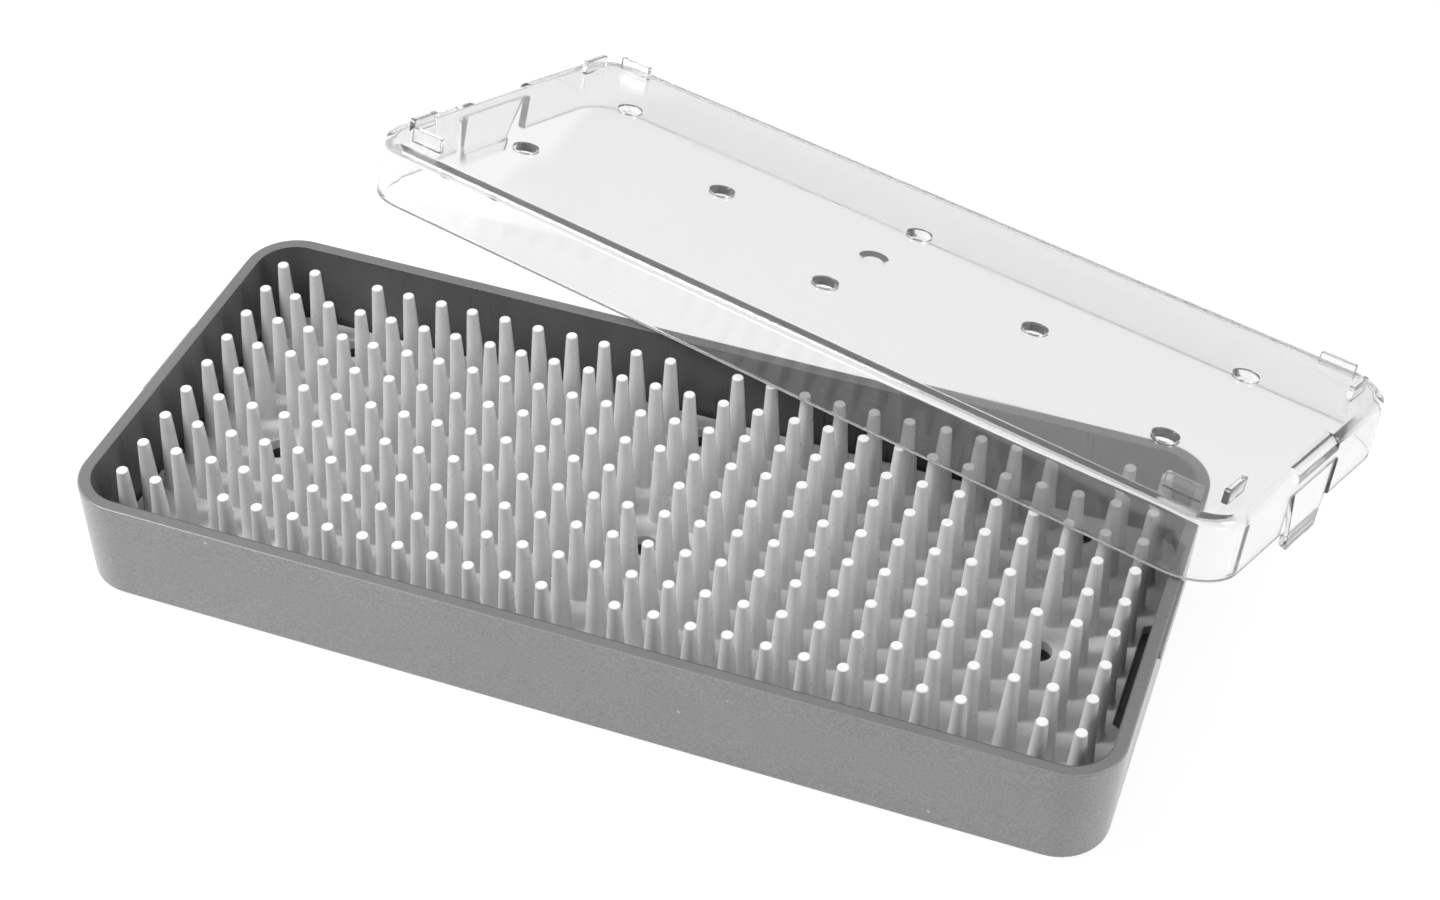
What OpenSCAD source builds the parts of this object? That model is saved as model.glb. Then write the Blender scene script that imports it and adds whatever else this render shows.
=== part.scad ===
// Sterilising cassette for small dental instruments: a shallow moulded tray, a silicone mat whose tapered
// fingers hold the instruments, and a clear vented lid with two spring latch tongues. The lid is off: its
// back edge stands on the table behind the tray and its front edge leans on the finger tips.

/* [Tray] */
// Length of the tray over its rim
tray_l = 192.5; // [180:0.5:215]
// Depth of the tray over its rim
tray_d = 83.5; // [76:0.5:96]
// Height of the tray from the table to its rim
tray_h = 21.6; // [18:0.2:28]
// Thickness of the tray's side walls
tray_wall = 2.4; // [1.8:0.1:3.2]
// Thickness of the tray's floor
tray_floor = 1.8; // [1.2:0.1:3]
// Radius of the tray's upright corners at the rim
tray_corner_r = 10; // [8:0.5:14]
// How much narrower each side is at the foot than at the rim
tray_draft = 0.48; // [0.1:0.02:0.9]
// Rounding of the tray's bottom edge
tray_foot_r = 0.9; // [0.4:0.1:1.5]
// Rounding of the rim's outer edge
tray_rim_r = 0.35; // [0.1:0.05:0.8]
// Rounding where the walls meet the floor inside
tray_inside_r = 0.35; // [0.2:0.05:0.45]
// Depth of the recess under the floor, which leaves a foot all round
recess_depth = 0.8; // [0.5:0.1:2]
// Radius of the recess's corners
recess_corner_r = 5; // [3:0.5:5]

/* [Latch catches] */
// Width of the catch ridge on each end of the tray
catch_w = 19; // [12:0.5:24]
// How far the ridge stands out from the end wall
catch_proud = 0.5; // [0.3:0.05:0.8]
// Height of the ridge
catch_h = 1; // [0.6:0.1:2]
// Distance from the rim down to the top of the ridge
catch_drop = 0.4; // [0.2:0.1:1]
// Depth of the sloping lead above the ridge
catch_lead = 0.3; // [0.1:0.05:0.4]

/* [Silicone mat] */
// Gap between the mat and the end walls, at the floor
mat_gap_l = 0.45; // [0.45:0.01:2]
// Gap between the mat and the long walls, at the floor
mat_gap_d = 0.93; // [0.5:0.01:2]
// Thickness of the mat under its fingers
mat_t = 2.2; // [1.5:0.1:4]
// Depth of the notch in the middle of each end of the mat, for a fingernail
mat_notch = 1.7; // [0.8:0.1:2]
// Width of the notch at the mat's end
mat_notch_w = 26.8; // [18:0.2:36]
// Width of the notch at its bottom
mat_notch_floor_w = 24.6; // [16:0.2:30]
// Diameter of the drain holes through the mat
mat_drain_d = 5.2; // [4:0.1:6]
// Diameter of the drain holes through the tray's floor
floor_drain_d = 5.6; // [4:0.1:6.5]

/* [Fingers] */
// Fingers in one full row
fingers_per_row = 27; // [25:2:29]
// Diameter of a finger at its flat tip
finger_tip_d = 2.2; // [1.6:0.1:2.8]
// Diameter of a finger at the mat
finger_base_d = 4.2; // [3:0.1:5]
// How far the tips stand above the tray's rim
finger_proud = 0.6; // [0:0.1:3]
// From the mat's end to the middle of the first finger
finger_margin_l = 4.58; // [4.5:0.01:6]
// From the mat's long edge to the middle of the first row
finger_margin_d = 6; // [3:0.1:8]
// Fingers between the mat's end and a drain hole
drain_inset = 2; // [1:1:4]

/* [Lid] */
// How far the lid reaches past the tray's rim at each end
lid_over_l = 1.25; // [0:0.05:2]
// How far the lid reaches past the tray's rim on the long sides
lid_over_d = 0.2; // [0:0.05:1]
// Height of the lid without its lugs
lid_h = 12.8; // [11:0.2:18]
// Thickness of the lid's side walls
lid_wall = 1.8; // [1.4:0.1:2.2]
// Thickness of the lid's top panel
lid_panel = 2; // [1.4:0.1:2.6]
// Radius of the lid's upright corners at its open edge
lid_corner_r = 10; // [8:0.5:14]
// How much narrower each side is at the panel than at the open edge
lid_draft = 0.38; // [0.1:0.02:0.8]
// Rounding of the lid's top edge
lid_edge_r = 1.9; // [1:0.1:2.4]
// Rounding between the walls and the panel inside
lid_inside_r = 0.9; // [0.4:0.1:1.4]
// Diameter of the steam vents
vent_d = 5; // [3:0.1:7]
// Distance of the outer vents from the lid's ends
vent_inset_l = 23.8; // [15:0.1:35]
// Distance of the vents from the lid's long sides
vent_inset_d = 23.45; // [12:0.05:28]
// Diameter of the dished moulding mark in the middle of the panel
gate_d = 6; // [4:0.1:8]
// Diameter of the moulding mark's flat bottom
gate_floor_d = 3.4; // [1:0.1:3.8]
// Depth of the moulding mark
gate_depth = 0.7; // [0.2:0.05:1]

/* [Stacking lugs] */
// Length of a lug
lug_l = 7.5; // [5:0.1:10]
// Thickness of a lug
lug_t = 1.3; // [0.8:0.1:2]
// Height of a lug over the panel
lug_h = 3; // [1:0.1:4]
// Bevel along the top edges of a lug
lug_bevel = 0.3; // [0.1:0.05:0.4]
// From the lid's end or side to the middle of the lug beside it
lug_inset = 5.6; // [5:0.1:8]
// From the lid's end or side to the near end of a lug that runs towards it
lug_corner_gap = 8.5; // [7:0.1:12]
// Play of the lugs inside the recess of a tray stacked on top
lug_play = 0.3; // [0.1:0.05:1]

/* [Latch tongues] */
// Width of a tongue where it springs from the lid
tongue_w = 19.8; // [14:0.2:26]
// Width of a tongue at its tip
tongue_tip_w = 13.7; // [8:0.1:18]
// Width of the slot on each side of a tongue
tongue_slot = 2; // [1:0.1:3]
// Height of the slots above the lid's open edge
tongue_slot_h = 8.2; // [6:0.1:9]
// How far the tip stands out past the end wall
tongue_proud = 0.6; // [0.3:0.05:1.5]
// Height of the hook below its ledge
hook_h = 2.5; // [1.5:0.1:3.5]
// How much lower the outer edge of the tip lies than the inner edge
tip_slant = 0.6; // [0.2:0.1:1]
// How far the closed hook reaches under the catch ridge
hook_bite = 0.3; // [0.15:0.05:0.4]
// Play between the closed hook and the ridge
hook_play = 0.2; // [0.1:0.05:0.4]
// Radius of the rounded shoulder above a tongue
tongue_shoulder_r = 3.6; // [2.5:0.1:4]
// Free play between a tongue's root and the lid
root_gap = 0.25; // [0.2:0.05:0.4]

/* [Where the lid leans] */
// Turn of the lid seen from above
lid_turn = -15.87; // [-30:0.01:0]
// How far the middle of the lid's front edge lies to the right of the tray's middle
lid_shift = 8.41; // [0:0.01:20]
// How far the middle of the lid's front edge laps over the tray's back edge
lid_lap = 9.51; // [4:0.01:14]
// Height of the lid's front edge over the finger tips
lid_lift = 0.7; // [0.6:0.05:1.2]

/* [Hidden] */
round_fn = 48;
post_fn = 32;
finger_fn = 24;
cut = 1;
finger_rows = 9;

floor_top = recess_depth + tray_floor;
wall_slope = tray_draft / tray_h;
inside_draft = wall_slope * (tray_h - floor_top);
inside_corner_r = tray_corner_r - tray_wall;
inside_l = tray_l - 2 * (tray_wall + inside_draft);
inside_d = tray_d - 2 * (tray_wall + inside_draft);

mat_l = inside_l - 2 * mat_gap_l;
mat_d = inside_d - 2 * mat_gap_d;
mat_corner_r = inside_corner_r - inside_draft - mat_gap_l;
mat_top = floor_top + mat_t;
tip_z = tray_h + finger_proud;
finger_pitch_l = (mat_l - 2 * finger_margin_l) / (fingers_per_row - 1);
finger_pitch_d = (mat_d - 2 * finger_margin_d) / (finger_rows - 1);
drain_columns = [drain_inset, (fingers_per_row - 1) / 2, fingers_per_row - 1 - drain_inset];
drain_rows = [0, (finger_rows - 1) / 2, finger_rows - 1];

lid_l = tray_l + 2 * lid_over_l;
lid_d = tray_d + 2 * lid_over_d;
lid_slope = lid_draft / lid_h;
vent_step = (lid_l / 2 - vent_inset_l) / 2;
vent_y = lid_d / 2 - vent_inset_d;
lug_end_x = lid_l / 2 - lug_inset;
lug_end_y = lid_d / 2 - lug_corner_gap - lug_l / 2;
lug_side_x = lid_l / 2 - lug_corner_gap - lug_l / 2;
lug_side_y = lid_d / 2 - lug_inset;
recess_l = 2 * (lug_end_x + lug_t / 2 + lug_play);
recess_d = 2 * (lug_side_y + lug_t / 2 + lug_play);
root_z = tongue_slot_h - root_gap;
hook_z = -(catch_drop + catch_h + hook_play);
tongue_drop = hook_h + tip_slant - hook_z;

front_z = tip_z + lid_lift;
lid_tilt = asin(front_z / lid_d);
lid_x = lid_shift - lid_d / 2 * cos(lid_tilt) * sin(lid_turn);
lid_y = tray_d / 2 - lid_lap + lid_d / 2 * cos(lid_tilt) * cos(lid_turn);

function arc(middle, r, from, to, steps = 5) =
    [for (i = [0:steps])
        let (turn = from + (to - from) * i / steps)
            middle + r * [cos(turn), sin(turn)]];
function finger_x(i) = (i - (fingers_per_row - 1) / 2) * finger_pitch_l;
function finger_y(j) = ((finger_rows - 1) / 2 - j) * finger_pitch_d;
function at_drain(i, j) = len(search(i, drain_columns)) > 0 && len(search(j, drain_rows)) > 0;

// Hull of one turned post in each corner of a rectangle of the given length and depth
module four_posts(l, d, r, profile) {
    hull()
        for (x = [-1, 1], y = [-1, 1])
            translate([x * (l / 2 - r), y * (d / 2 - r), 0])
                rotate_extrude($fn = post_fn)
                    polygon(profile);
}

// Flat plate with upright rounded corners
module round_plate(l, d, r, h) {
    linear_extrude(h) {
        square([l - 2 * r, d], center = true);
        square([l, d - 2 * r], center = true);
        for (x = [-1, 1], y = [-1, 1])
            translate([x * (l / 2 - r), y * (d / 2 - r)])
                circle(r, $fn = round_fn);
    }
}

module tray_outside() {
    foot_post_r = tray_corner_r - tray_draft;
    four_posts(tray_l, tray_d, tray_corner_r, concat(
        [[0, 0]],
        arc([foot_post_r - tray_foot_r, tray_foot_r], tray_foot_r, -90, 0),
        arc([tray_corner_r - tray_rim_r, tray_h - tray_rim_r], tray_rim_r, 0, 90, 3),
        [[0, tray_h]]));
}

module tray_inside() {
    floor_post_r = inside_corner_r - inside_draft;
    four_posts(tray_l - 2 * tray_wall, tray_d - 2 * tray_wall, inside_corner_r, concat(
        [[0, floor_top]],
        arc([floor_post_r - tray_inside_r, floor_top + tray_inside_r], tray_inside_r, -90, 0),
        [[inside_corner_r, tray_h], [inside_corner_r, tray_h + cut], [0, tray_h + cut]]));
}

// Ridge across an end wall, with a sloping lead on top that spreads the tongue
module catch_ridge() {
    ridge_top = tray_h - catch_drop;
    root = tray_l / 2 - tray_wall / 2;
    face = tray_l / 2 + catch_proud;
    translate([0, catch_w / 2, 0])
        rotate([90, 0, 0])
            linear_extrude(catch_w)
                polygon([[root, ridge_top - catch_h], [face, ridge_top - catch_h],
                    [face, ridge_top - catch_lead], [face - catch_lead, ridge_top], [root, ridge_top]]);
}

module tray() {
    color("gray")
        difference() {
            union() {
                tray_outside();
                for (turn = [0, 180])
                    rotate([0, 0, turn])
                        catch_ridge();
            }
            tray_inside();
            translate([0, 0, -cut])
                round_plate(recess_l, recess_d, recess_corner_r, recess_depth + cut);
            for (i = drain_columns, j = drain_rows)
                translate([finger_x(i), finger_y(j), 0])
                    cylinder(h = floor_top + cut, d = floor_drain_d, $fn = round_fn);
        }
}

// What is missing in the notch at the right end of the mat
module mat_notch_space() {
    translate([mat_l / 2, 0, -cut])
        linear_extrude(mat_t + 2 * cut)
            polygon([[-mat_notch, -mat_notch_floor_w / 2], [0, -mat_notch_w / 2], [cut, -mat_notch_w / 2],
                [cut, mat_notch_w / 2], [0, mat_notch_w / 2], [-mat_notch, mat_notch_floor_w / 2]]);
}

module mat_sheet() {
    color("darkgray")
        translate([0, 0, floor_top])
            difference() {
                round_plate(mat_l, mat_d, mat_corner_r, mat_t);
                for (turn = [0, 180])
                    rotate([0, 0, turn])
                        mat_notch_space();
                for (i = drain_columns, j = drain_rows)
                    translate([finger_x(i), finger_y(j), -cut])
                        cylinder(h = mat_t + 2 * cut, d = mat_drain_d, $fn = round_fn);
            }
}

// Row of tapered fingers, rows counted from the back, with gaps at the drain holes
module finger_row(number) {
    j = number - 1;
    color("silver")
        for (i = [0:fingers_per_row - 1])
            if (!at_drain(i, j))
                translate([finger_x(i), finger_y(j), mat_top])
                    cylinder(h = tip_z - mat_top, d1 = finger_base_d, d2 = finger_tip_d, $fn = finger_fn);
}

// Puts what is drawn in the lid's own frame where the lid leans on the tray
module lid_place() {
    translate([lid_x, lid_y, lid_d / 2 * sin(lid_tilt)])
        rotate([0, 0, lid_turn])
            rotate([-lid_tilt, 0, 0])
                children();
}

module lid_outside() {
    panel_post_r = lid_corner_r - lid_draft;
    four_posts(lid_l, lid_d, lid_corner_r, concat(
        [[0, 0], [lid_corner_r, 0]],
        arc([panel_post_r - lid_edge_r, lid_h - lid_edge_r], lid_edge_r, 0, 90, 6),
        [[0, lid_h]]));
}

module lid_inside() {
    edge_post_r = lid_corner_r - lid_wall;
    ceiling = lid_h - lid_panel;
    panel_post_r = edge_post_r - lid_slope * ceiling;
    four_posts(lid_l - 2 * lid_wall, lid_d - 2 * lid_wall, edge_post_r, concat(
        [[0, -cut], [edge_post_r, -cut], [edge_post_r, 0]],
        arc([panel_post_r - lid_inside_r, ceiling - lid_inside_r], lid_inside_r, 0, 90, 4),
        [[0, ceiling]]));
}

// Opening in the right end wall for a tongue and the round-topped slots beside it
module tongue_opening() {
    half = tongue_w / 2 + tongue_slot;
    slot_r = tongue_slot / 2;
    translate([lid_l / 2 - lid_wall - cut, 0, 0])
        rotate([90, 0, 90])
            linear_extrude(lid_wall + 2 * cut) {
                translate([-half, -cut])
                    square([2 * half, tongue_slot_h - slot_r + cut]);
                translate([slot_r - half, 0])
                    square([2 * (half - slot_r), tongue_slot_h]);
                for (side = [-1, 1])
                    translate([side * (half - slot_r), tongue_slot_h - slot_r])
                        circle(slot_r, $fn = finger_fn);
            }
}

// Takes the sharper top edge away over the right tongue, down to a larger round shoulder
module tongue_shoulder() {
    r = tongue_shoulder_r;
    middle = [lid_l / 2 - lid_slope * tongue_slot_h - r, lid_h - r];
    translate([0, tongue_w / 2, 0])
        rotate([90, 0, 0])
            linear_extrude(tongue_w)
                difference() {
                    translate(middle)
                        square(r + cut);
                    translate(middle)
                        circle(r, $fn = round_fn);
                }
}

module lid_shell() {
    color("white", 0.4)
        lid_place()
            difference() {
                lid_outside();
                lid_inside();
                for (turn = [0, 180])
                    rotate([0, 0, turn]) {
                        tongue_opening();
                        tongue_shoulder();
                    }
                for (i = [-2:2], y = i % 2 == 0 ? [-vent_y, vent_y] : [0])
                    translate([i * vent_step, y, lid_h - lid_panel - cut])
                        cylinder(h = lid_panel + 2 * cut, d = vent_d, $fn = round_fn);
                translate([0, 0, lid_h])
                    rotate_extrude($fn = round_fn)
                        polygon([[0, -gate_depth], [gate_floor_d / 2, -gate_depth], [gate_d / 2, 0],
                            [gate_d / 2, cut], [0, cut]]);
            }
}

// One bevelled lug, its length along Y
module lug() {
    half = lug_t / 2;
    translate([0, lug_l / 2, 0])
        rotate([90, 0, 0])
            linear_extrude(lug_l)
                polygon([[-half, 0], [half, 0], [half, lug_h - lug_bevel], [half - lug_bevel, lug_h],
                    [lug_bevel - half, lug_h], [-half, lug_h - lug_bevel]]);
}

module stacking_lugs() {
    color("white", 0.5)
        lid_place()
            for (x = [-1, 1], y = [-1, 1]) {
                translate([x * lug_end_x, y * lug_end_y, lid_h])
                    lug();
                translate([x * lug_side_x, y * lug_side_y, lid_h])
                    rotate([0, 0, 90])
                        lug();
            }
}

// Side view of the right tongue: root at the top, ledge and hook at the bottom
module tongue_profile() {
    wall_out = lid_l / 2 - lid_slope * root_z;
    ridge_face = tray_l / 2 + catch_proud;
    relief = ridge_face + hook_play;
    nose = ridge_face - hook_bite;
    polygon([[wall_out - lid_wall, root_z], [relief, 0], [relief, hook_z], [nose, hook_z],
        [nose, hook_z - hook_h], [lid_l / 2 + tongue_proud, -tongue_drop], [wall_out, root_z]]);
}

// Front view of a tongue, narrowing to its tip
module tongue_front() {
    flare = (tongue_w - tongue_tip_w) / 2 / (root_z + tongue_drop) * cut;
    root = tongue_w / 2 + flare;
    tip = tongue_tip_w / 2 - flare;
    polygon([[-tip, -tongue_drop - cut], [tip, -tongue_drop - cut],
        [root, root_z + cut], [-root, root_z + cut]]);
}

module latch_tongue(turn) {
    color("white", 0.5)
        lid_place()
            rotate([0, 0, turn])
                intersection() {
                    translate([0, tongue_w / 2, 0])
                        rotate([90, 0, 0])
                            linear_extrude(tongue_w)
                                tongue_profile();
                    translate([lid_l / 2 - 2 * lid_wall, 0, 0])
                        rotate([90, 0, 90])
                            linear_extrude(4 * lid_wall)
                                tongue_front();
                }
}

tray();
mat_sheet();
finger_row(1);  // finger_row_1
finger_row(2);  // finger_row_2
finger_row(3);  // finger_row_3
finger_row(4);  // finger_row_4
finger_row(5);  // finger_row_5
finger_row(6);  // finger_row_6
finger_row(7);  // finger_row_7
finger_row(8);  // finger_row_8
finger_row(9);  // finger_row_9
lid_shell();
stacking_lugs();
latch_tongue(0);  // latch_tongue_right
latch_tongue(180);  // latch_tongue_left
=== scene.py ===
import math
import random

import bmesh
import bpy
from mathutils import Matrix, Vector


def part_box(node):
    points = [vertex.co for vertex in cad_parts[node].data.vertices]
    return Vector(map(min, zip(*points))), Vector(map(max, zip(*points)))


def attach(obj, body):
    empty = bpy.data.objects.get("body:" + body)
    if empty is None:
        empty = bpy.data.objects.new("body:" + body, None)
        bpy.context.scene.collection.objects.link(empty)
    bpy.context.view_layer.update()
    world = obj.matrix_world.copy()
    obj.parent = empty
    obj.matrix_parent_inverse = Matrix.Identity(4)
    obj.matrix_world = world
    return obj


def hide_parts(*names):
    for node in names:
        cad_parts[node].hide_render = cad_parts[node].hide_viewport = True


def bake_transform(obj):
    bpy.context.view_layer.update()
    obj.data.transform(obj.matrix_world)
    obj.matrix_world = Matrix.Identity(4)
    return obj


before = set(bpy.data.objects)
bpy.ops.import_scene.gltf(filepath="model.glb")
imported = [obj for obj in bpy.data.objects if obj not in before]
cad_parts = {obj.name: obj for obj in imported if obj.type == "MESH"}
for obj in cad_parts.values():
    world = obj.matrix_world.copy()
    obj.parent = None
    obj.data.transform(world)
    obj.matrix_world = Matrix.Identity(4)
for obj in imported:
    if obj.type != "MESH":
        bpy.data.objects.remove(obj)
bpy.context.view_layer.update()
scene = bpy.context.scene

# Camera. It stands in front of the tray's right half and looks down on the open cassette. The small
# shift slides the picture left and down, to where the photograph has the cassette.
image_width = 1440
image_shift = 30
camera_data = bpy.data.cameras.new("camera")
camera_data.sensor_width = 36
camera_data.lens = 62.91
camera_data.shift_x = image_shift / image_width
camera_data.shift_y = image_shift / image_width
camera = bpy.data.objects.new("camera", camera_data)
camera.location = (0.11723, -0.31177, 0.32988)
camera.rotation_euler = [math.radians(angle) for angle in (47.186, -0.872, 20.002)]
scene.collection.objects.link(camera)
scene.camera = camera

# Tray. One injection moulding in filled grey plastic that stands autoclave heat: grained outside, satin
# inside, with a flat rim, nine drain holes in the floor and a foot round a shallow recess underneath.
# The inside, the drain holes and the rim top are painted darker than the outside, as shade.
# A ridge on each end wall catches the lid's tongues.
millimetre = 0.001
tray_low, tray_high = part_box("tray")
catch_proud = 0.5 * millimetre
catch_width = 19 * millimetre
catch_height = 1 * millimetre
catch_below_rim = 0.4 * millimetre
catch_lead = 0.3 * millimetre
tray_length = tray_high.x - tray_low.x - 2 * catch_proud
tray_depth = tray_high.y - tray_low.y
tray_height = tray_high.z
tray_wall = 2.4 * millimetre
tray_corner = 10 * millimetre
tray_draft = 0.48 * millimetre
tray_floor_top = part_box("mat_sheet")[0].z
recess_height = 0.8 * millimetre
recess_length = 185.7 * millimetre
recess_depth = 74.6 * millimetre
recess_corner = 5 * millimetre
foot_radius = 0.9 * millimetre
rim_radius = 0.35 * millimetre
lip_radius = 0.1 * millimetre
inside_radius = 0.35 * millimetre
floor_drain = 2.8 * millimetre
finger_columns = 27
finger_rows = 9
column_pitch = 6.8 * millimetre
row_pitch = 8 * millimetre
drain_columns = (2, 13, 24)
drain_rows = (0, 4, 8)
outside_dark = (0.212, 0.214, 0.217)
outside_light = (0.232, 0.234, 0.237)
grain_dark = 0.74
grain_light = 1.22
grain_per_metre = 2600
grain_depth = 0.02 * millimetre
specks_per_metre = 110
speck_light = 0.6
# The inside and the drain holes are painted darker than the outside, as the shade in the tray.
inside_shade_dark = 0.085
inside_shade_light = 0.11
# The rim top is painted darker than the outside walls, as shade on it.
rim_shade_dark = 0.165
rim_shade_light = 0.185
flat_bend = 0.0005
crisp_bend = 0.001


def finger_place(column, row):
    """Middle of a finger or drain hole, columns counted from the left and rows from the back."""
    across = column - (finger_columns - 1) / 2
    back = (finger_rows - 1) / 2 - row
    return Vector((across * column_pitch, back * row_pitch, 0))


drain_places = [finger_place(column, row) for column in drain_columns for row in drain_rows]


def rounded_rectangle(length, depth, radius, height, steps=12):
    """Points round a rectangle with round corners, anticlockwise, all at one height."""
    points = []
    for quarter, (side_x, side_y) in enumerate(((1, 1), (-1, 1), (-1, -1), (1, -1))):
        middle = Vector((side_x * (length / 2 - radius), side_y * (depth / 2 - radius), height))
        for step in range(steps + 1):
            angle = math.radians(90 * (quarter + step / steps))
            points.append(middle + radius * Vector((math.cos(angle), math.sin(angle), 0)))
    return points


def circle(middle, radius, height, steps=32):
    """Points round a circle, anticlockwise, all at one height."""
    angles = [2 * math.pi * step / steps for step in range(steps)]
    level = Vector((middle.x, middle.y, height))
    return [level + radius * Vector((math.cos(angle), math.sin(angle), 0)) for angle in angles]


def add_loop(mould, points):
    """New vertices at the points."""
    return [mould.verts.new(point) for point in points]


def skin(mould, loops, finish=0):
    """Four-sided faces between each loop and the next."""
    for lower, upper in zip(loops, loops[1:]):
        for i in range(len(lower)):
            j = (i + 1) % len(lower)
            mould.faces.new((lower[i], lower[j], upper[j], upper[i])).material_index = finish


def flat_web(mould, outline, openings, finish=0):
    """Flat wall inside the outline, with the openings left open."""
    edges = []
    for loop in [outline] + openings:
        for a, b in zip(loop, loop[1:] + loop[:1]):
            edges.append(mould.edges.get((a, b)) or mould.edges.new((a, b)))
    for part in bmesh.ops.triangle_fill(mould, edges=edges, use_beauty=True)["geom"]:
        if isinstance(part, bmesh.types.BMFace):
            part.material_index = finish


def quarter_round(radius, start, steps):
    """Steps (across, up) along a quarter circle from the angle start, for a rounded edge."""
    angles = [math.radians(start + 90 * step / steps) for step in range(steps + 1)]
    return [(radius * math.cos(angle), radius * math.sin(angle)) for angle in angles]


def release(name, mould, finishes, sharp=35):
    """Turns the mould into a piece with smooth rounds and crisp edges, and gives it its finishes."""
    bmesh.ops.recalc_face_normals(mould, faces=mould.faces)
    mesh = bpy.data.meshes.new(name)
    mould.to_mesh(mesh)
    mould.free()
    for finish in finishes:
        mesh.materials.append(finish)
    piece = bpy.data.objects.new(name, mesh)
    scene.collection.objects.link(piece)
    crisp(piece, sharp)
    return piece


def crisp(piece, sharp=35):
    """Shades rounds smoothly, with crisp edges where the angle is sharp and round every flat web.
    The sharp angle is in degrees. The bends at which an edge is flat or crisp are in radians."""
    mesh = piece.data
    mesh.shade_smooth()
    mesh.set_sharp_from_angle(angle=math.radians(sharp))
    mould = bmesh.new()
    mould.from_mesh(mesh)
    bends = {edge: edge.calc_face_angle(0) for edge in mould.edges}
    flats = {face for face in mould.faces if any(bends[edge] < flat_bend for edge in face.edges)}
    for edge, bend in bends.items():
        if bend > crisp_bend and flats.intersection(edge.link_faces):
            edge.smooth = False
    mould.to_mesh(mesh)
    mould.free()
    level = piece.modifiers.new("level", "WEIGHTED_NORMAL")
    level.keep_sharp = True


def combine(piece, tool, operation):
    """Cuts the tool out of the piece, joins it on or keeps what both share, and removes the tool."""
    piece.modifiers.clear()
    step = piece.modifiers.new("combine", "BOOLEAN")
    step.operation = operation
    step.solver = "EXACT"
    step.object = tool
    depsgraph = bpy.context.evaluated_depsgraph_get()
    result = bpy.data.meshes.new_from_object(piece.evaluated_get(depsgraph))
    piece.modifiers.clear()
    piece.data = result
    bpy.data.objects.remove(tool)
    crisp(piece)


def prism(name, outline, finishes=()):
    """Piece with flat ends from two loops of points."""
    mould = bmesh.new()
    loops = [add_loop(mould, points) for points in outline]
    skin(mould, loops)
    mould.faces.new(loops[0])
    mould.faces.new(loops[-1])
    return release(name, mould, finishes)


def node(material, kind, **values):
    """New shader node with values on its sockets or settings."""
    made = material.node_tree.nodes.new(kind)
    for key, value in values.items():
        if key in made.inputs:
            made.inputs[key].default_value = value
        else:
            setattr(made, key, value)
    return made


def start_finish(name, roughness, **values):
    """New material with one main shader and object coordinates in metres."""
    material = bpy.data.materials.new(name)
    material.use_nodes = True
    main = material.node_tree.nodes["Principled BSDF"]
    main.inputs["Roughness"].default_value = roughness
    for socket, value in values.items():
        main.inputs[socket.replace("_", " ")].default_value = value
    place = node(material, "ShaderNodeTexCoord").outputs["Object"]
    return material, main, place


def link(material, source, target):
    """Joins an output to an input."""
    material.node_tree.links.new(source, target)


def noise(material, place, per_metre, detail=2.0, roughness=0.5):
    """Soft noise at so many features a metre."""
    made = node(material, "ShaderNodeTexNoise", Scale=per_metre, Detail=detail, Roughness=roughness)
    link(material, place, made.inputs["Vector"])
    return made.outputs["Fac"]


def between(material, factor, low, high, from_low=0.3, from_high=0.7):
    """Factor brought from one range of values to another."""
    made = node(material, "ShaderNodeMapRange")
    for socket, value in zip(("From Min", "From Max", "To Min", "To Max"), (from_low, from_high, low, high)):
        made.inputs[socket].default_value = value
    link(material, factor, made.inputs["Value"])
    return made.outputs["Result"]


def grey(value):
    """Colour with as much red as green and blue."""
    return (value, value, value)


def tint(material, factor, first, second):
    """Mix of two colours by the factor."""
    made = node(material, "ShaderNodeMix", data_type="RGBA")
    made.inputs[6].default_value = (*first, 1)
    made.inputs[7].default_value = (*second, 1)
    link(material, factor, made.inputs[0])
    return made.outputs[2]


def relief(material, main, height, depth, strength=1.0):
    """Bump of the given depth in metres."""
    made = node(material, "ShaderNodeBump", Strength=strength, Distance=depth)
    link(material, height, made.inputs["Height"])
    link(material, made.outputs["Normal"], main.inputs["Normal"])


def tray_grain():
    """Matt grain of the outside under a thin waxy skin, with scattered pale specks."""
    material, main, place = start_finish("tray_grained", 0.55, Specular_IOR_Level=0.45, Coat_Weight=0.8,
                                         Coat_Roughness=0.22)
    cloud = between(material, noise(material, place, 40, 3), 0, 1)
    body = tint(material, cloud, outside_dark, outside_light)
    grain = noise(material, place, grain_per_metre, 2, 0.7)
    grained = node(material, "ShaderNodeMix", data_type="RGBA", blend_type="MULTIPLY")
    grained.inputs[0].default_value = 1
    link(material, body, grained.inputs[6])
    link(material, tint(material, between(material, grain, 0, 1), grey(grain_dark), grey(grain_light)),
         grained.inputs[7])
    speck = node(material, "ShaderNodeTexVoronoi", Scale=specks_per_metre)
    link(material, place, speck.inputs["Vector"])
    dots = between(material, speck.outputs["Distance"], 1, 0, 0.015, 0.04)
    specked = node(material, "ShaderNodeMix", data_type="RGBA")
    link(material, dots, specked.inputs[0])
    link(material, grained.outputs[2], specked.inputs[6])
    specked.inputs[7].default_value = (*grey(speck_light), 1)
    link(material, specked.outputs[2], main.inputs["Base Color"])
    link(material, between(material, noise(material, place, 90, 4), 0.5, 0.64), main.inputs["Roughness"])
    relief(material, main, grain, grain_depth, 0.6)
    return material


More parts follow.
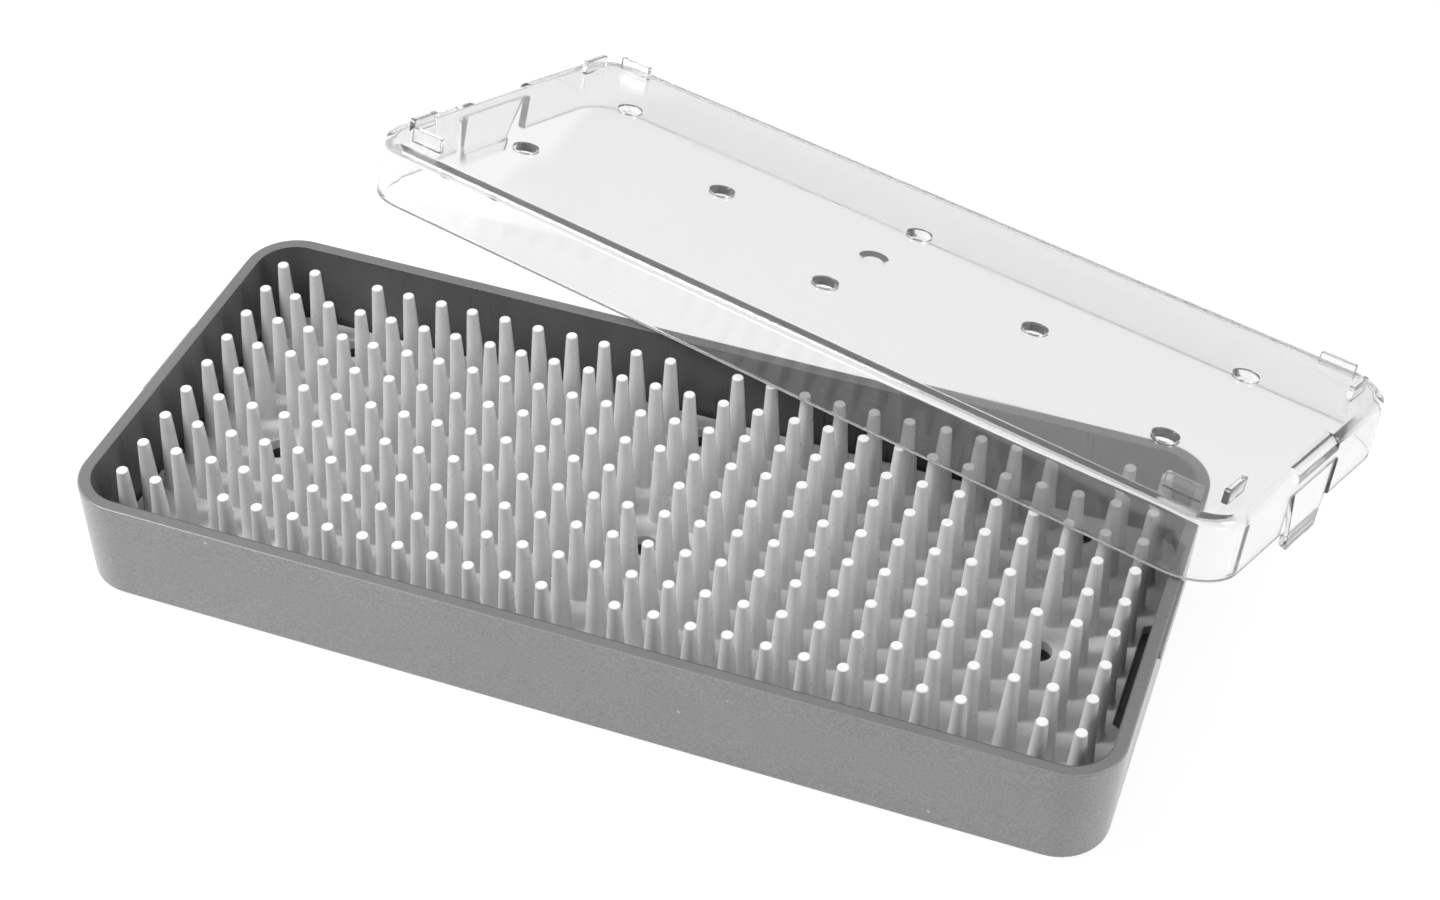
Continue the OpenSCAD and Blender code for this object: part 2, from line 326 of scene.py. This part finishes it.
def satin_with_painted_shade(name, dark, light):
    """Smoother than the grain, polished in the mould and slightly streaked by draw marks, in a darker colour
    painted on as shade.
    """
    material, main, place = start_finish(name, 0.3, Specular_IOR_Level=0.5)
    cloud = between(material, noise(material, place, 55, 3), 0, 1)
    link(material, tint(material, cloud, grey(dark), grey(light)), main.inputs["Base Color"])
    stretch = node(material, "ShaderNodeMapping")
    stretch.inputs["Scale"].default_value = (900, 900, 60)
    link(material, place, stretch.inputs["Vector"])
    streak = noise(material, stretch.outputs["Vector"], 1, 2)
    link(material, between(material, streak, 0.26, 0.38), main.inputs["Roughness"])
    relief(material, main, noise(material, place, 1600, 2), 0.01 * millimetre, 0.5)
    return material


def make_tray():
    mould = bmesh.new()
    inside_draft = tray_draft * (tray_height - tray_floor_top) / tray_height

    def around(inset, height):
        return add_loop(mould, rounded_rectangle(
            tray_length - 2 * inset, tray_depth - 2 * inset, tray_corner - inset, height))

    recess = [add_loop(mould, rounded_rectangle(recess_length, recess_depth, recess_corner, height))
              for height in (recess_height, 0)]
    outside = [around(tray_draft + foot_radius - across, foot_radius + up)
               for across, up in quarter_round(foot_radius, -90, 6)]
    rim = [around(rim_radius - across, tray_height - rim_radius + up)
           for across, up in quarter_round(rim_radius, 0, 4)]
    lip = [around(tray_wall - lip_radius - across, tray_height - lip_radius + up)
           for across, up in reversed(quarter_round(lip_radius, 90, 3))]
    cove = [around(tray_wall + inside_draft + inside_radius - across, tray_floor_top + inside_radius - up)
            for across, up in quarter_round(inside_radius, 0, 5)]
    skin(mould, recess + outside + rim)
    skin(mould, [rim[-1]] + lip, 2)
    skin(mould, [lip[-1]] + cove, 1)
    drains = []
    for place in drain_places:
        drain = [add_loop(mould, circle(place, floor_drain, height))
                 for height in (recess_height, tray_floor_top)]
        skin(mould, drain, 1)
        drains.append(drain)
    flat_web(mould, recess[0], [drain[0] for drain in drains])
    flat_web(mould, cove[-1], [drain[1] for drain in drains], 1)
    # The inside and the rim top take darker colours, painted shade.
    finishes = [tray_grain(), satin_with_painted_shade("tray_inside", inside_shade_dark, inside_shade_light),
                satin_with_painted_shade("tray_rim_painted_shade", rim_shade_dark, rim_shade_light)]
    tray = release("tray_moulding", mould, finishes)
    for end in (-1, 1):
        combine(tray, catch_ridge(end), "UNION")
    return tray


def catch_ridge(end):
    """Ridge across an end wall, rooted in the wall, with a small lead on top."""
    top = tray_height - catch_below_rim
    bottom = top - catch_height
    root = tray_length / 2 - tray_wall / 2
    face = tray_length / 2 + catch_proud
    low_lead = catch_lead / 3
    side_view = [(root, bottom), (face - low_lead, bottom), (face, bottom + low_lead),
                 (face, top - catch_lead), (face - catch_lead, top), (root, top)]
    return prism("ridge", [[Vector((end * x, y, z)) for x, z in side_view]
                           for y in (-catch_width / 2, catch_width / 2)])


tray = make_tray()
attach(tray, "tray")
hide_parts("tray")

# Silicone mat. One soft moulding laid in the tray: a sheet with nine drain holes, a notch in each end and
# rows of tapered fingers with rounded roots. Every finger came out of its mould a little differently, and
# their flat tips carry a paler colour, a painted highlight.
mat_low, mat_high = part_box("mat_sheet")
mat_length = mat_high.x - mat_low.x
mat_depth = mat_high.y - mat_low.y
mat_corner = 6.73 * millimetre
notch_depth = 1.7 * millimetre
notch_width = 26.8 * millimetre
notch_floor_width = 24.6 * millimetre
mat_edge = 0.25 * millimetre
mat_drain = 2.6 * millimetre
tip_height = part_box("finger_row_1")[1].z
tip_radius = 1.1 * millimetre
base_radius = 2.1 * millimetre
root_radius = 0.45 * millimetre
tip_edge = 0.18 * millimetre
tip_shoulder_in = 0.35 * tip_edge
tip_shoulder_down = 0.3 * tip_edge
lean = 0.16 * millimetre
lean_power = 1.5
finger_sides = 20
finger_bands = 5
finger_seed = 11
mat_dark = 0.63
mat_light = 0.69
# Paler colour of the flat tips, a painted highlight.
tip_highlight_dark = 0.78
tip_highlight_light = 0.84
# The middle point of an edge softened in two steps lies this share of the edge in from its corner.
edge_middle = 0.3


def silicone():
    """Satin grey rubber with a slightly milky depth and a soft bloom of fine dust."""
    material, main, place = start_finish("silicone", 0.42, Subsurface_Weight=0.08, Subsurface_Scale=0.001,
                                         Specular_IOR_Level=0.45)
    main.inputs["Subsurface Radius"].default_value = (1, 0.95, 0.9)
    cloud = between(material, noise(material, place, 120, 3), 0, 1)
    link(material, tint(material, cloud, grey(mat_dark), grey(mat_light)), main.inputs["Base Color"])
    link(material, between(material, noise(material, place, 700, 2), 0.26, 0.38), main.inputs["Roughness"])
    relief(material, main, noise(material, place, 1800, 3), 0.02 * millimetre, 0.45)
    return material


def painted_tip_highlight():
    """Flat finger tip, in a paler colour painted on as a highlight."""
    material, main, place = start_finish("painted_tip_highlight", 0.5, Subsurface_Weight=0.1, Subsurface_Scale=0.0008)
    cloud = between(material, noise(material, place, 1500, 2), 0, 1)
    link(material, tint(material, cloud, grey(tip_highlight_dark), grey(tip_highlight_light)), main.inputs["Base Color"])
    relief(material, main, noise(material, place, 4000, 2), 0.01 * millimetre, 0.5)
    return material


def grow_finger(mould, foot, chance):
    """One finger from its rounded root to its flat tip. Returns the loop where it leaves the sheet."""
    tilt = Vector((chance.uniform(-lean, lean), chance.uniform(-lean, lean), 0))
    length = tip_height - mat_high.z
    slope = (base_radius - tip_radius) / length
    profile = [(base_radius + root_radius + across, root_radius - up)
               for across, up in quarter_round(root_radius, 90, 4)]
    for band in range(1, finger_bands):
        height = length * band / finger_bands
        profile.append((base_radius - slope * height, height))
    profile.append((tip_radius, length - tip_edge))
    profile.append((tip_radius - tip_shoulder_in, length - tip_shoulder_down))
    profile.append((tip_radius - tip_edge, length))
    loops = []
    for radius, height in profile:
        middle = foot + tilt * (height / length) ** lean_power
        loops.append(add_loop(mould, circle(middle, radius, mat_high.z + height, finger_sides)))
    skin(mould, loops)
    # The flat tip takes the paler colour painted on as a highlight.
    mould.faces.new(loops[-1]).material_index = 1
    return loops[0]


def make_mat():
    mould = bmesh.new()
    chance = random.Random(finger_seed)

    def around(inset, height):
        points = rounded_rectangle(mat_length - 2 * inset, mat_depth - 2 * inset, mat_corner - inset, height)
        end = mat_length / 2 - inset
        half_view = [(end - notch_depth, notch_floor_width / 2 + inset), (end, notch_width / 2 + inset)]
        notch = [Vector((x, -y, height)) for x, y in reversed(half_view)]
        notch += [Vector((x, y, height)) for x, y in half_view]
        half = len(points) // 2
        far_notch = [Vector((-point.x, -point.y, height)) for point in notch]
        return add_loop(mould, points[:half] + far_notch + points[half:] + notch)

    sides = [around(mat_edge, mat_low.z), around(0, mat_low.z + mat_edge)]
    sides += [around(mat_edge - across, mat_high.z - mat_edge + up)
              for across, up in quarter_round(mat_edge, 0, 3)]
    skin(mould, sides)
    top_openings = []
    bottom_openings = []
    for row in range(finger_rows):
        for column in range(finger_columns):
            place = finger_place(column, row)
            if column in drain_columns and row in drain_rows:
                softened = mat_edge * edge_middle
                shape = [(mat_drain, mat_low.z), (mat_drain, mat_high.z - mat_edge),
                         (mat_drain + softened, mat_high.z - softened), (mat_drain + mat_edge, mat_high.z)]
                drain = [add_loop(mould, circle(place, radius, height)) for radius, height in shape]
                skin(mould, drain)
                bottom_openings.append(drain[0])
                top_openings.append(drain[-1])
            else:
                top_openings.append(grow_finger(mould, place, chance))
    flat_web(mould, sides[0], bottom_openings)
    flat_web(mould, sides[-1], top_openings)
    return release("finger_mat", mould, [silicone(), painted_tip_highlight()], 50)


mat = make_mat()
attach(mat, "tray")
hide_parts("mat_sheet", *["finger_row_%d" % row for row in range(1, finger_rows + 1)])

# Lid. One moulding in clear heat-proof plastic with drafted walls, a rounded top edge, eight steam vents
# with soft lips and a round gate mark in the middle of the panel. Stacking lugs stand in pairs at the
# panel's corners. It leans on the finger tips with its front edge and stands on its back edge.
lid_over_end = 1.25 * millimetre
lid_over_side = 0.2 * millimetre
lid_length = tray_length + 2 * lid_over_end
lid_depth = tray_depth + 2 * lid_over_side
lid_height = 12.8 * millimetre
lid_wall = 1.8 * millimetre
lid_panel = 2 * millimetre
lid_corner = 10.2 * millimetre
lid_draft = 0.38 * millimetre
lid_top_radius = 1.9 * millimetre
lid_inside_radius = 0.9 * millimetre
lid_lip = 0.3 * millimetre
vent_radius = 2.5 * millimetre
vent_lip = 0.3 * millimetre
vent_step = 36.85 * millimetre
vent_row = 18.5 * millimetre
vent_sides = 40
gate_radius = 3 * millimetre
gate_floor = 1.7 * millimetre
gate_sink = 0.7 * millimetre
gate_foot_out = 0.4 * millimetre
gate_foot_up = 0.12 * millimetre
lug_length = 7.5 * millimetre
lug_width = 1.3 * millimetre
lug_height = 3 * millimetre
lug_bevel = 0.3 * millimetre
lug_corner = 0.2 * millimetre
lug_least_corner = 0.05 * millimetre
lug_inset = 5.6 * millimetre
lug_gap = 8.5 * millimetre
lid_turn = math.radians(-15.87)
lid_shift = 8.41 * millimetre
lid_lap = 9.51 * millimetre
lid_lift = 0.7 * millimetre
lid_tilt = math.asin((tip_height + lid_lift) / lid_depth)
lid_middle = Vector((
    lid_shift - lid_depth / 2 * math.cos(lid_tilt) * math.sin(lid_turn),
    tray_depth / 2 - lid_lap + lid_depth / 2 * math.cos(lid_tilt) * math.cos(lid_turn),
    lid_depth / 2 * math.sin(lid_tilt)))
lid_place = (Matrix.Translation(lid_middle) @ Matrix.Rotation(lid_turn, 4, "Z")
             @ Matrix.Rotation(-lid_tilt, 4, "X"))
clear_colour = (0.965, 0.967, 0.97)
clear_share = 0.94
clear_bending = 1.56


def clear_plastic():
    """Glossy clear plastic with a faint milky haze and some moulding flow in the surface."""
    material, main, place = start_finish("clear_plastic", 0.03, Transmission_Weight=clear_share,
                                         IOR=clear_bending)
    main.inputs["Base Color"].default_value = (*clear_colour, 1)
    wipe = between(material, noise(material, place, 60, 4), 0.015, 0.07)
    link(material, wipe, main.inputs["Roughness"])
    relief(material, main, noise(material, place, 45, 2), 0.03 * millimetre, 0.35)
    return material


def lug_loops(mould, middle, along_x):
    """One stacking lug, rounded at its foot corners and bevelled on top. Returns its foot loop."""
    length, width = (lug_length, lug_width) if along_x else (lug_width, lug_length)
    softened = lug_bevel * edge_middle
    levels = ((0, 0), (0, lug_height - lug_bevel), (softened, lug_height - softened),
              (lug_bevel, lug_height))
    loops = []
    for inset, height in levels:
        radius = max(lug_corner - inset, lug_least_corner)
        points = rounded_rectangle(length - 2 * inset, width - 2 * inset, radius, lid_height + height, 3)
        loops.append(add_loop(mould, [point + middle for point in points]))
    skin(mould, loops)
    mould.faces.new(loops[-1])
    return loops[0]


def make_lid():
    mould = bmesh.new()
    ceiling = lid_height - lid_panel
    slope = lid_draft / lid_height

    def around(inset, height):
        return add_loop(mould, rounded_rectangle(
            lid_length - 2 * inset, lid_depth - 2 * inset, lid_corner - inset, height, 16))

    wall_top = lid_wall + slope * ceiling + lid_inside_radius
    inner = [around(wall_top - across, ceiling - lid_inside_radius + up)
             for across, up in reversed(quarter_round(lid_inside_radius, 0, 6))]
    softened = lid_lip * edge_middle
    inner += [around(lid_wall, lid_lip), around(lid_wall - softened, softened),
              around(lid_wall - lid_lip, 0)]
    outer = [around(lid_lip, 0), around(softened, softened), around(0, lid_lip)]
    outer += [around(lid_draft + lid_top_radius - across, lid_height - lid_top_radius + up)
              for across, up in quarter_round(lid_top_radius, 0, 10)]
    skin(mould, inner + outer)
    top_openings = []
    ceiling_openings = []
    for step in range(-2, 3):
        for row in ((-vent_row, vent_row) if step % 2 == 0 else (0,)):
            middle = Vector((step * vent_step, row, 0))
            lips = [(vent_radius + vent_lip - across, ceiling + vent_lip - up)
                    for across, up in reversed(quarter_round(vent_lip, 0, 4))]
            lips += [(vent_radius + vent_lip - across, lid_height - vent_lip + up)
                     for across, up in quarter_round(vent_lip, 0, 4)]
            vent = [add_loop(mould, circle(middle, radius, height, vent_sides)) for radius, height in lips]
            skin(mould, vent)
            ceiling_openings.append(vent[0])
            top_openings.append(vent[-1])
    middle = Vector((0, 0, 0))
    gate = [add_loop(mould, circle(middle, radius, lid_height - gate_sink + up, vent_sides))
            for radius, up in ((gate_radius, gate_sink), (gate_floor + gate_foot_out, gate_foot_up),
                               (gate_floor, 0))]
    skin(mould, gate)
    mould.faces.new(gate[-1])
    top_openings.append(gate[0])
    for side_x in (-1, 1):
        for side_y in (-1, 1):
            end_lug = Vector((side_x * (lid_length / 2 - lug_inset),
                              side_y * (lid_depth / 2 - lug_gap - lug_length / 2), 0))
            side_lug = Vector((side_x * (lid_length / 2 - lug_gap - lug_length / 2),
                               side_y * (lid_depth / 2 - lug_inset), 0))
            top_openings.append(lug_loops(mould, end_lug, False))
            top_openings.append(lug_loops(mould, side_lug, True))
    flat_web(mould, inner[0], ceiling_openings)
    flat_web(mould, outer[-1], top_openings)
    return release("clear_lid", mould, [clear_plastic()])


lid = make_lid()

# Latch tongues. They are moulded in one with the lid, in the middle of each end wall, between two
# round-topped slots under a large round shoulder. A tongue narrows to its tip and has a small ledge and
# hook inside. Each tongue is a rigid piece of its own, set where it stands on the lid; the flex at its
# root, where the hook snaps over the tray's ridge, is not modelled.
tongue_width = 19.8 * millimetre
tongue_tip_width = 13.7 * millimetre
tongue_slot = 2 * millimetre
slot_height = 8.2 * millimetre
tongue_proud = 0.6 * millimetre
hook_play = 0.2 * millimetre
hook_bite = 0.3 * millimetre
ledge_height = -1.6 * millimetre
hook_low = -4.1 * millimetre
tongue_low = -4.7 * millimetre
shoulder_radius = 3.6 * millimetre
root_line = 0.02 * millimetre
tongue_edge = 0.12 * millimetre
cut_past = 1 * millimetre


def slot_cutter(end):
    """Opening for a tongue and its slots, through one end wall."""
    half = tongue_width / 2 + tongue_slot
    radius = tongue_slot / 2
    outline = [(half, -cut_past), (half, slot_height - radius)]
    outline += [(half - radius + across, slot_height - radius + up)
                for across, up in quarter_round(radius, 0, 6)]
    outline += [(-y, z) for y, z in reversed(outline)]
    through = (lid_length / 2 - 2 * lid_wall, lid_length / 2 + lid_wall)
    return prism("opening", [[Vector((end * x, y, z)) for y, z in outline] for x in through])


def shoulder_cutter(end):
    """What is missing outside the large round shoulder over a tongue."""
    out = lid_length / 2 - lid_draft * slot_height / lid_height
    middle = (out - shoulder_radius, lid_height - shoulder_radius)
    side_view = [(middle[0] + across, middle[1] + up)
                 for across, up in quarter_round(shoulder_radius, 0, 14)]
    side_view += [(middle[0], lid_height + cut_past), (out + cut_past, lid_height + cut_past),
                  (out + cut_past, middle[1])]
    half = tongue_width / 2
    return prism("shoulder", [[Vector((end * x, y, z)) for x, z in side_view] for y in (-half, half)])


def make_tongue(name, end):
    root = slot_height - root_line
    wall_out = lid_length / 2 - lid_draft * root / lid_height
    ridge_face = tray_length / 2 + catch_proud
    side_view = [
        (wall_out - lid_wall, root), (ridge_face + hook_play, 0), (ridge_face + hook_play, ledge_height),
        (ridge_face - hook_bite, ledge_height), (ridge_face - hook_bite, hook_low),
        (lid_length / 2 + tongue_proud, tongue_low), (wall_out, root)]
    half = tongue_width / 2
    tongue = prism(name, [[Vector((end * x, y, z)) for x, z in side_view] for y in (-half, half)],
                   [lid.data.materials[0]])
    flare = (half - tongue_tip_width / 2) / (root - tongue_low) * cut_past
    root_half = half + flare
    tip_half = tongue_tip_width / 2 - flare
    front = [(-tip_half, tongue_low - cut_past), (tip_half, tongue_low - cut_past),
             (root_half, root + cut_past), (-root_half, root + cut_past)]
    through = (lid_length / 2 - 2 * lid_wall, lid_length / 2 + 2 * lid_wall)
    front_tool = prism("front", [[Vector((end * x, y, z)) for y, z in front] for x in through])
    combine(tongue, front_tool, "INTERSECT")
    tongue.modifiers.clear()
    soften = tongue.modifiers.new("soften", "BEVEL")
    soften.width = tongue_edge
    soften.segments = 2
    soften.limit_method = "ANGLE"
    soften.angle_limit = math.radians(25)
    crisp(tongue, 50)
    tongue.data.transform(lid_place)
    return tongue


for end, name in ((1, "latch_right"), (-1, "latch_left")):
    combine(lid, slot_cutter(end), "DIFFERENCE")
    combine(lid, shoulder_cutter(end), "DIFFERENCE")
    tongue = make_tongue(name + "_tongue", end)
    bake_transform(tongue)
    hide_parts("latch_tongue_right" if end == 1 else "latch_tongue_left")

lid.data.transform(lid_place)
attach(lid, "lid")
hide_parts("lid_shell", "stacking_lugs")

# Studio. A white table, a white surround, a soft lamp on the left and a weaker one low on the right. The
# surround is darker low down in front, as behind a camera, so that clear edges have something dark to
# bend. The table is lifted to plain white where it is seen, except right under the tray, where it is left
# dark as painted shade.
scene.view_settings.view_transform = "Standard"
table_half = 3.0
table_light = 0.91
table_seen = 0.25
table_lift = 0.84
unlifted_inset = 0.5 * millimetre
surround_light = 0.56
dark_front = 0.25
lamp_size = 0.3


def seen_ray(tree):
    """1 where a surface or the surround is looked at, straight on or through and off a clear piece."""
    path = tree.nodes.new("ShaderNodeLightPath")
    highest = path.outputs["Is Camera Ray"]
    for kind in ("Is Glossy Ray", "Is Transmission Ray"):
        both = tree.nodes.new("ShaderNodeMath")
        both.operation = "MAXIMUM"
        tree.links.new(highest, both.inputs[0])
        tree.links.new(path.outputs[kind], both.inputs[1])
        highest = both.outputs[0]
    return highest


def calculate(tree, operation, first, second):
    """One step of arithmetic on two outputs or numbers."""
    step = tree.nodes.new("ShaderNodeMath")
    step.operation = operation
    for socket, value in zip(step.inputs, (first, second)):
        if isinstance(value, (int, float)):
            socket.default_value = value
        else:
            tree.links.new(value, socket)
    return step.outputs[0]


def table_white():
    """White table that lights the pieces as a pale one does, and is seen as plain white with shadows.
    Right under the tray it is seen dark, as painted shade.
    """
    material, main, place = start_finish("table_white", 0.6, Specular_IOR_Level=0.2)
    tree = material.node_tree
    seen = seen_ray(tree)
    link(material, tint(material, seen, grey(table_light), grey(table_seen)), main.inputs["Base Color"])
    split = node(material, "ShaderNodeSeparateXYZ")
    link(material, place, split.inputs["Vector"])
    # Right under the tray the table gets no lift and is seen dark: painted shade.
    half_length = recess_length / 2 - recess_corner
    half_depth = recess_depth / 2 - unlifted_inset
    beside = calculate(tree, "GREATER_THAN", calculate(tree, "ABSOLUTE", split.outputs["X"], 0), half_length)
    before = calculate(tree, "GREATER_THAN", calculate(tree, "ABSOLUTE", split.outputs["Y"], 0), half_depth)
    outside_painted_shade = calculate(tree, "MAXIMUM", beside, before)
    lift = calculate(tree, "MULTIPLY", calculate(tree, "MULTIPLY", seen, outside_painted_shade), table_lift)
    link(material, lift, main.inputs["Emission Strength"])
    main.inputs["Emission Color"].default_value = (1, 1, 1, 1)
    return material


mould = bmesh.new()
corners = [Vector((x * table_half, y * table_half, 0)) for x, y in ((-1, -1), (1, -1), (1, 1), (-1, 1))]
mould.faces.new(add_loop(mould, corners))
table = release("table", mould, [table_white()])

for name, power, place in (("left_lamp", 4.1, (-0.42, -0.2, 0.5)), ("right_lamp", 1.3, (0.6, -0.08, 0.26))):
    lamp_data = bpy.data.lights.new(name, "AREA")
    lamp_data.shape = "DISK"
    lamp_data.size = lamp_size
    lamp_data.energy = power
    lamp = bpy.data.objects.new(name, lamp_data)
    lamp.location = place
    lamp.rotation_euler = lamp.location.to_track_quat("Z", "Y").to_euler()
    scene.collection.objects.link(lamp)

world = bpy.data.worlds.new("surround")
scene.world = world
world.use_nodes = True
tree = world.node_tree
direction = tree.nodes.new("ShaderNodeTexCoord")
split = tree.nodes.new("ShaderNodeSeparateXYZ")
tree.links.new(direction.outputs["Generated"], split.inputs["Vector"])
shades = []
for axis, dark_to, full_from in (("Z", 0.1, 0.7), ("Y", -0.4, 0.35)):
    ramp = tree.nodes.new("ShaderNodeMapRange")
    limits = (dark_to, full_from, dark_front, 1)
    for socket, value in zip(("From Min", "From Max", "To Min", "To Max"), limits):
        ramp.inputs[socket].default_value = value
    tree.links.new(split.outputs[axis], ramp.inputs["Value"])
    shades.append(ramp.outputs["Result"])
light = calculate(tree, "MULTIPLY", calculate(tree, "MAXIMUM", *shades), surround_light)
path = tree.nodes.new("ShaderNodeLightPath")
strength = tree.nodes.new("ShaderNodeMix")
strength.data_type = "FLOAT"
tree.links.new(path.outputs["Is Camera Ray"], strength.inputs[0])
tree.links.new(light, strength.inputs[2])
strength.inputs[3].default_value = 1
tree.links.new(strength.outputs[0], tree.nodes["Background"].inputs["Strength"])
tree.nodes["Background"].inputs["Color"].default_value = (1, 1, 1, 1)
